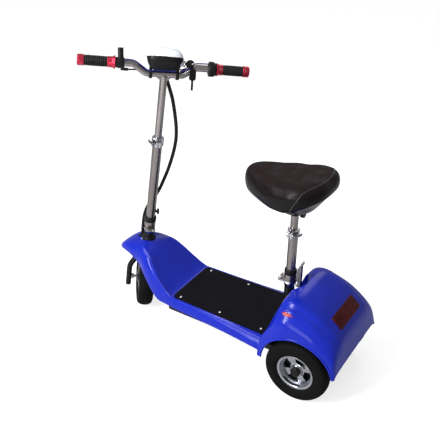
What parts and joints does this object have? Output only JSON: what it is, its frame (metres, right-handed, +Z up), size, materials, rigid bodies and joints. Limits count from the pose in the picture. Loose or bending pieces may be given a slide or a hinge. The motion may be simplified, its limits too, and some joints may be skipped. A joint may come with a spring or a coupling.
{
  "type": "electric tricycle",
  "caption": "Small folding electric tricycle with a front hub motor, a raked steering column, a flat footboard, a rear wheel hood and a padded saddle on a folding post.",
  "frame": {"origin": "on the ground under the middle of the overall box", "axes": "+Z up, -Y to the front of the vehicle, +X to its left"},
  "size_m": [0.3818, 0.9749, 1.0419],
  "materials": {
    "battery_case": "dark grey battery case",
    "black_paint": "black paint on steel",
    "black_plastic": "black moulded plastic",
    "blue_plastic": "glossy moulded plastic",
    "cable_black": "black cable sheath",
    "chrome": "chrome plate",
    "clear_lens": "clear plastic lens",
    "grip_rubber": "soft grip rubber with red anodised rings",
    "mat_rubber": "black rubber mat",
    "red_lens": "dark red clear plastic",
    "satin_tube": "satin plated tube",
    "steel": "plain steel",
    "tyre_rubber": "black tyre rubber",
    "vinyl": "smooth black vinyl over foam",
    "white_plastic": "white moulded plastic",
    "wire_blue": "dark blue wire sheath"
  },
  "bodies": {
    "chassis": {"frame": "black_paint", "headset_lower": "steel", "headset_upper": "steel", "front_body": "blue_plastic", "deck_mat": "mat_rubber", "belly_pan": "black_plastic", "rear_hood": "blue_plastic", "tail_lamp_lens": "red_lens", "side_marker_left": "red_lens", "side_marker_right": "red_lens", "battery_pack": "battery_case", "controller": "steel", "rear_axle": "steel", "seat_fold_base": "chrome", "seat_fold_pin": "steel", "loom_lower": "cable_black"},
    "rear_wheel_left": {"tyre_rear_left": "tyre_rubber", "rim_rear_left": "chrome", "bearing_rear_left": "steel", "hub_cap_rear_left": "black_plastic"},
    "rear_wheel_right": {"tyre_rear_right": "tyre_rubber", "rim_rear_right": "chrome", "bearing_rear_right": "steel", "hub_cap_rear_right": "black_plastic"},
    "fork": {"fork": "black_paint", "column_boot": "black_plastic", "motor_axle": "steel", "stem_fold_base": "chrome", "stem_fold_pin": "steel"},
    "front_wheel": {"tyre_front": "tyre_rubber", "hub_motor": "black_paint"},
    "stem": {"stem_lower_tube": "satin_tube", "stem_clamp": "chrome", "loom_middle": "cable_black"},
    "stem_latch": {"stem_fold_lever": "chrome"},
    "stem_knob": {"stem_knob": "black_plastic"},
    "stem_clamp_lever": {"stem_clamp_lever": "chrome"},
    "bar": {"handlebar": "satin_tube", "display_base": "black_plastic", "display_cover": "white_plastic", "headlight_lens": "clear_lens", "key_switch": "steel", "brake_perch": "black_plastic", "grip_left": "grip_rubber", "throttle_housing": "black_plastic", "brake_cable": "cable_black", "brake_switch_wire": "wire_blue", "throttle_wire": "wire_blue", "loom_upper": "cable_black"},
    "brake_lever": {"brake_lever": "black_paint"},
    "throttle_grip": {"throttle_grip": "grip_rubber"},
    "key": {"ignition_key": "black_plastic"},
    "spare_key": {"spare_key": "black_plastic"},
    "seat_post": {"seat_lower_tube": "satin_tube", "seat_clamp": "chrome"},
    "seat_latch": {"seat_fold_lever": "chrome"},
    "seat_clamp_lever": {"seat_clamp_lever": "chrome"},
    "saddle": {"seat_upper_tube": "satin_tube", "saddle_pan": "black_plastic", "saddle_cushion": "vinyl"}
  },
  "joints": [
    {"name": "steer", "type": "hinge", "parent": "chassis", "child": "fork", "pos_m": [0, -0.387, 0.1125], "axis": [0, 0.1418, 0.9899], "range_deg": [-10, 110], "deforming": ["loom_lower"]},
    {"name": "front_wheel_spin", "type": "hinge", "parent": "fork", "child": "front_wheel", "pos_m": [0, -0.387, 0.1125], "axis": [0.6455, -0.7561, 0.1083], "continuous": true},
    {"name": "rear_wheel_left_spin", "type": "hinge", "parent": "chassis", "child": "rear_wheel_left", "pos_m": [0.153, 0.357, 0.1125], "axis": [1, 0, 0], "continuous": true},
    {"name": "rear_wheel_right_spin", "type": "hinge", "parent": "chassis", "child": "rear_wheel_right", "pos_m": [-0.153, 0.357, 0.1125], "axis": [1, 0, 0], "continuous": true},
    {"name": "stem_latch_swing", "type": "hinge", "parent": "fork", "child": "stem_latch", "pos_m": [-0.02482, -0.3751, 0.34355], "axis": [0.6455, -0.7561, 0.1083], "range_deg": [0, 100]},
    {"name": "stem_fold", "type": "hinge", "parent": "fork", "child": "stem", "pos_m": [0.02368, -0.33276, 0.35011], "axis": [-0.6455, 0.7561, -0.1083], "range_deg": [0, 95], "deforming": ["loom_middle"]},
    {"name": "stem_knob_turn", "type": "hinge", "parent": "stem", "child": "stem_knob", "pos_m": [-0.01117, -0.3302, 0.41591], "axis": [-0.6455, 0.7561, -0.1083], "range_deg": [-180, 180]},
    {"name": "stem_clamp_lever_swing", "type": "hinge", "parent": "stem", "child": "stem_clamp_lever", "pos_m": [0.03147, -0.29804, 0.70679], "axis": [0, 0.1418, 0.9899], "range_deg": [0, 110]},
    {"name": "bar_height", "type": "slide", "parent": "stem", "child": "bar", "axis": [0, 0.1418, 0.9899], "range_m": [-0.16, 0.06], "deforming": ["loom_upper"]},
    {"name": "brake_squeeze", "type": "hinge", "parent": "bar", "child": "brake_lever", "pos_m": [0.0615, -0.3869, 0.9749], "axis": [-0.416, -0.2291, 0.88], "range_deg": [0, 10], "stiffness_Nm_per_rad": 1.5, "springref_deg": -11.46},
    {"name": "throttle_twist", "type": "hinge", "parent": "bar", "child": "throttle_grip", "pos_m": [0, -0.26304, 0.97807], "axis": [-0.6455, 0.7561, -0.1083], "range_deg": [0, 65], "stiffness_Nm_per_rad": 0.2, "springref_deg": -28.65},
    {"name": "key_turn", "type": "hinge", "parent": "bar", "child": "key", "pos_m": [-0.03247, -0.20425, 0.98642], "axis": [0.6455, -0.7561, 0.1083], "range_deg": [0, 80]},
    {"name": "spare_key_swing", "type": "hinge", "parent": "key", "child": "spare_key", "pos_m": [-0.04834, -0.18565, 0.98376], "axis": [0.7638, 0.6389, -0.0915], "range_deg": [-5, 25]},
    {"name": "seat_latch_swing", "type": "hinge", "parent": "chassis", "child": "seat_latch", "pos_m": [0, 0.2675, 0.322], "axis": [-1, 0, 0], "range_deg": [0, 30]},
    {"name": "seat_fold", "type": "hinge", "parent": "chassis", "child": "seat_post", "pos_m": [0, 0.204, 0.3345], "axis": [1, 0, 0], "range_deg": [0, 85]},
    {"name": "seat_clamp_lever_swing", "type": "hinge", "parent": "seat_post", "child": "seat_clamp_lever", "pos_m": [0.0254, 0.2524, 0.5195], "axis": [0, 0, -1], "range_deg": [0, 110]},
    {"name": "saddle_height", "type": "slide", "parent": "seat_post", "child": "saddle", "axis": [0, 0, 1], "range_m": [-0.038, 0.035]}
  ]
}
